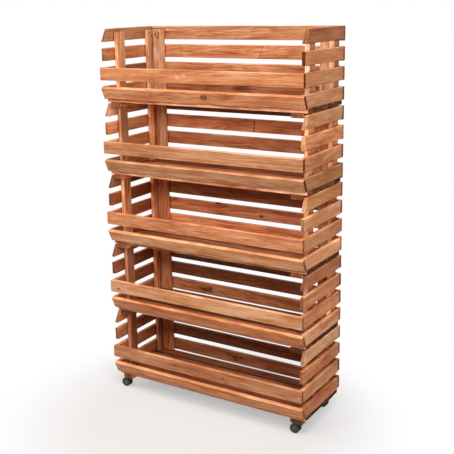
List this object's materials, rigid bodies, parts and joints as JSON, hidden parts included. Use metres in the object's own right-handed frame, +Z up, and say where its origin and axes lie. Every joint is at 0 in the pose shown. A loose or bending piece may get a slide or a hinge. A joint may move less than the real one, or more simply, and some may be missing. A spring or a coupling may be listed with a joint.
{
  "type": "vegetable rack",
  "caption": "Stack of open-fronted slatted wooden crates that nest on one another and lift apart, on small swivel casters.",
  "frame": {"origin": "on the floor, under the middle of the rack", "axes": "+Z up the stack, -Y out of the open front, +X to the right seen from the front"},
  "size_m": [0.8, 0.309, 1.3702],
  "materials": {
    "front_wood": "stained, planed, long grain",
    "side_wood": "stained, planed, long grain",
    "back_wood": "stained, planed, long grain",
    "upright_wood": "stained, planed",
    "floor_wood": "stained, planed",
    "black_plate": "satin black",
    "black_plastic": "satin black",
    "wheel_plastic": "satin black",
    "zinc_steel": "zinc plated"
  },
  "bodies": {
    "crate_1": {"crate_1_side_wall_left": "side_wood", "crate_1_side_wall_right": "side_wood", "crate_1_front_upright_left": "upright_wood", "crate_1_front_upright_right": "upright_wood", "crate_1_back_wall": "back_wood", "crate_1_floor": "floor_wood", "crate_1_upper_front_slat": "front_wood", "crate_1_lower_front_slat": "front_wood", "caster_front_left_plate": "black_plate", "caster_front_right_plate": "black_plate", "caster_rear_left_plate": "black_plate", "caster_rear_right_plate": "black_plate"},
    "crate_2": {"crate_2_side_wall_left": "side_wood", "crate_2_side_wall_right": "side_wood", "crate_2_front_upright_left": "upright_wood", "crate_2_front_upright_right": "upright_wood", "crate_2_back_wall": "back_wood", "crate_2_floor": "floor_wood", "crate_2_upper_front_slat": "front_wood", "crate_2_lower_front_slat": "front_wood"},
    "crate_3": {"crate_3_side_wall_left": "side_wood", "crate_3_side_wall_right": "side_wood", "crate_3_front_upright_left": "upright_wood", "crate_3_front_upright_right": "upright_wood", "crate_3_back_wall": "back_wood", "crate_3_floor": "floor_wood", "crate_3_upper_front_slat": "front_wood", "crate_3_lower_front_slat": "front_wood"},
    "crate_4": {"crate_4_side_wall_left": "side_wood", "crate_4_side_wall_right": "side_wood", "crate_4_front_upright_left": "upright_wood", "crate_4_front_upright_right": "upright_wood", "crate_4_back_wall": "back_wood", "crate_4_floor": "floor_wood", "crate_4_upper_front_slat": "front_wood", "crate_4_lower_front_slat": "front_wood"},
    "crate_5": {"crate_5_side_wall_left": "side_wood", "crate_5_side_wall_right": "side_wood", "crate_5_front_upright_left": "upright_wood", "crate_5_front_upright_right": "upright_wood", "crate_5_back_wall": "back_wood", "crate_5_floor": "floor_wood", "crate_5_upper_front_slat": "front_wood", "crate_5_lower_front_slat": "front_wood"},
    "caster_front_left_swivel": {"caster_front_left_housing": "black_plastic", "caster_front_left_axle": "zinc_steel"},
    "caster_front_left_wheel_front_disc": {"caster_front_left_wheel_front": "wheel_plastic"},
    "caster_front_left_wheel_rear_disc": {"caster_front_left_wheel_rear": "wheel_plastic"},
    "caster_front_right_swivel": {"caster_front_right_housing": "black_plastic", "caster_front_right_axle": "zinc_steel"},
    "caster_front_right_wheel_front_disc": {"caster_front_right_wheel_front": "wheel_plastic"},
    "caster_front_right_wheel_rear_disc": {"caster_front_right_wheel_rear": "wheel_plastic"},
    "caster_rear_left_swivel": {"caster_rear_left_housing": "black_plastic", "caster_rear_left_axle": "zinc_steel"},
    "caster_rear_left_wheel_front_disc": {"caster_rear_left_wheel_front": "wheel_plastic"},
    "caster_rear_left_wheel_rear_disc": {"caster_rear_left_wheel_rear": "wheel_plastic"},
    "caster_rear_right_swivel": {"caster_rear_right_housing": "black_plastic", "caster_rear_right_axle": "zinc_steel"},
    "caster_rear_right_wheel_front_disc": {"caster_rear_right_wheel_front": "wheel_plastic"},
    "caster_rear_right_wheel_rear_disc": {"caster_rear_right_wheel_rear": "wheel_plastic"}
  },
  "joints": [
    {"name": "crate_2_lift", "type": "slide", "parent": "crate_1", "child": "crate_2", "axis": [0, 0, 1], "range_m": [0, 0.04]},
    {"name": "crate_3_lift", "type": "slide", "parent": "crate_2", "child": "crate_3", "axis": [0, 0, 1], "range_m": [0, 0.04]},
    {"name": "crate_4_lift", "type": "slide", "parent": "crate_3", "child": "crate_4", "axis": [0, 0, 1], "range_m": [0, 0.04]},
    {"name": "crate_5_lift", "type": "slide", "parent": "crate_4", "child": "crate_5", "axis": [0, 0, 1], "range_m": [0, 0.04]},
    {"name": "caster_front_left_swivel_turn", "type": "hinge", "parent": "crate_1", "child": "caster_front_left_swivel", "pos_m": [-0.3673, -0.1027, 0.032], "axis": [0, 0, 1], "continuous": true},
    {"name": "caster_front_left_wheel_front_roll", "type": "hinge", "parent": "caster_front_left_swivel", "child": "caster_front_left_wheel_front_disc", "pos_m": [-0.3818, -0.1027, 0.0175], "axis": [0, 1, 0], "continuous": true},
    {"name": "caster_front_left_wheel_rear_roll", "type": "hinge", "parent": "caster_front_left_swivel", "child": "caster_front_left_wheel_rear_disc", "pos_m": [-0.3818, -0.1027, 0.0175], "axis": [0, 1, 0], "continuous": true},
    {"name": "caster_front_right_swivel_turn", "type": "hinge", "parent": "crate_1", "child": "caster_front_right_swivel", "pos_m": [0.3673, -0.1027, 0.032], "axis": [0, 0, 1], "continuous": true},
    {"name": "caster_front_right_wheel_front_roll", "type": "hinge", "parent": "caster_front_right_swivel", "child": "caster_front_right_wheel_front_disc", "pos_m": [0.3528, -0.1027, 0.0175], "axis": [0, 1, 0], "continuous": true},
    {"name": "caster_front_right_wheel_rear_roll", "type": "hinge", "parent": "caster_front_right_swivel", "child": "caster_front_right_wheel_rear_disc", "pos_m": [0.3528, -0.1027, 0.0175], "axis": [0, 1, 0], "continuous": true},
    {"name": "caster_rear_left_swivel_turn", "type": "hinge", "parent": "crate_1", "child": "caster_rear_left_swivel", "pos_m": [-0.3673, 0.1215, 0.032], "axis": [0, 0, 1], "continuous": true},
    {"name": "caster_rear_left_wheel_front_roll", "type": "hinge", "parent": "caster_rear_left_swivel", "child": "caster_rear_left_wheel_front_disc", "pos_m": [-0.3818, 0.1215, 0.0175], "axis": [0, 1, 0], "continuous": true},
    {"name": "caster_rear_left_wheel_rear_roll", "type": "hinge", "parent": "caster_rear_left_swivel", "child": "caster_rear_left_wheel_rear_disc", "pos_m": [-0.3818, 0.1215, 0.0175], "axis": [0, 1, 0], "continuous": true},
    {"name": "caster_rear_right_swivel_turn", "type": "hinge", "parent": "crate_1", "child": "caster_rear_right_swivel", "pos_m": [0.3673, 0.1215, 0.032], "axis": [0, 0, 1], "continuous": true},
    {"name": "caster_rear_right_wheel_front_roll", "type": "hinge", "parent": "caster_rear_right_swivel", "child": "caster_rear_right_wheel_front_disc", "pos_m": [0.3528, 0.1215, 0.0175], "axis": [0, 1, 0], "continuous": true},
    {"name": "caster_rear_right_wheel_rear_roll", "type": "hinge", "parent": "caster_rear_right_swivel", "child": "caster_rear_right_wheel_rear_disc", "pos_m": [0.3528, 0.1215, 0.0175], "axis": [0, 1, 0], "continuous": true}
  ]
}
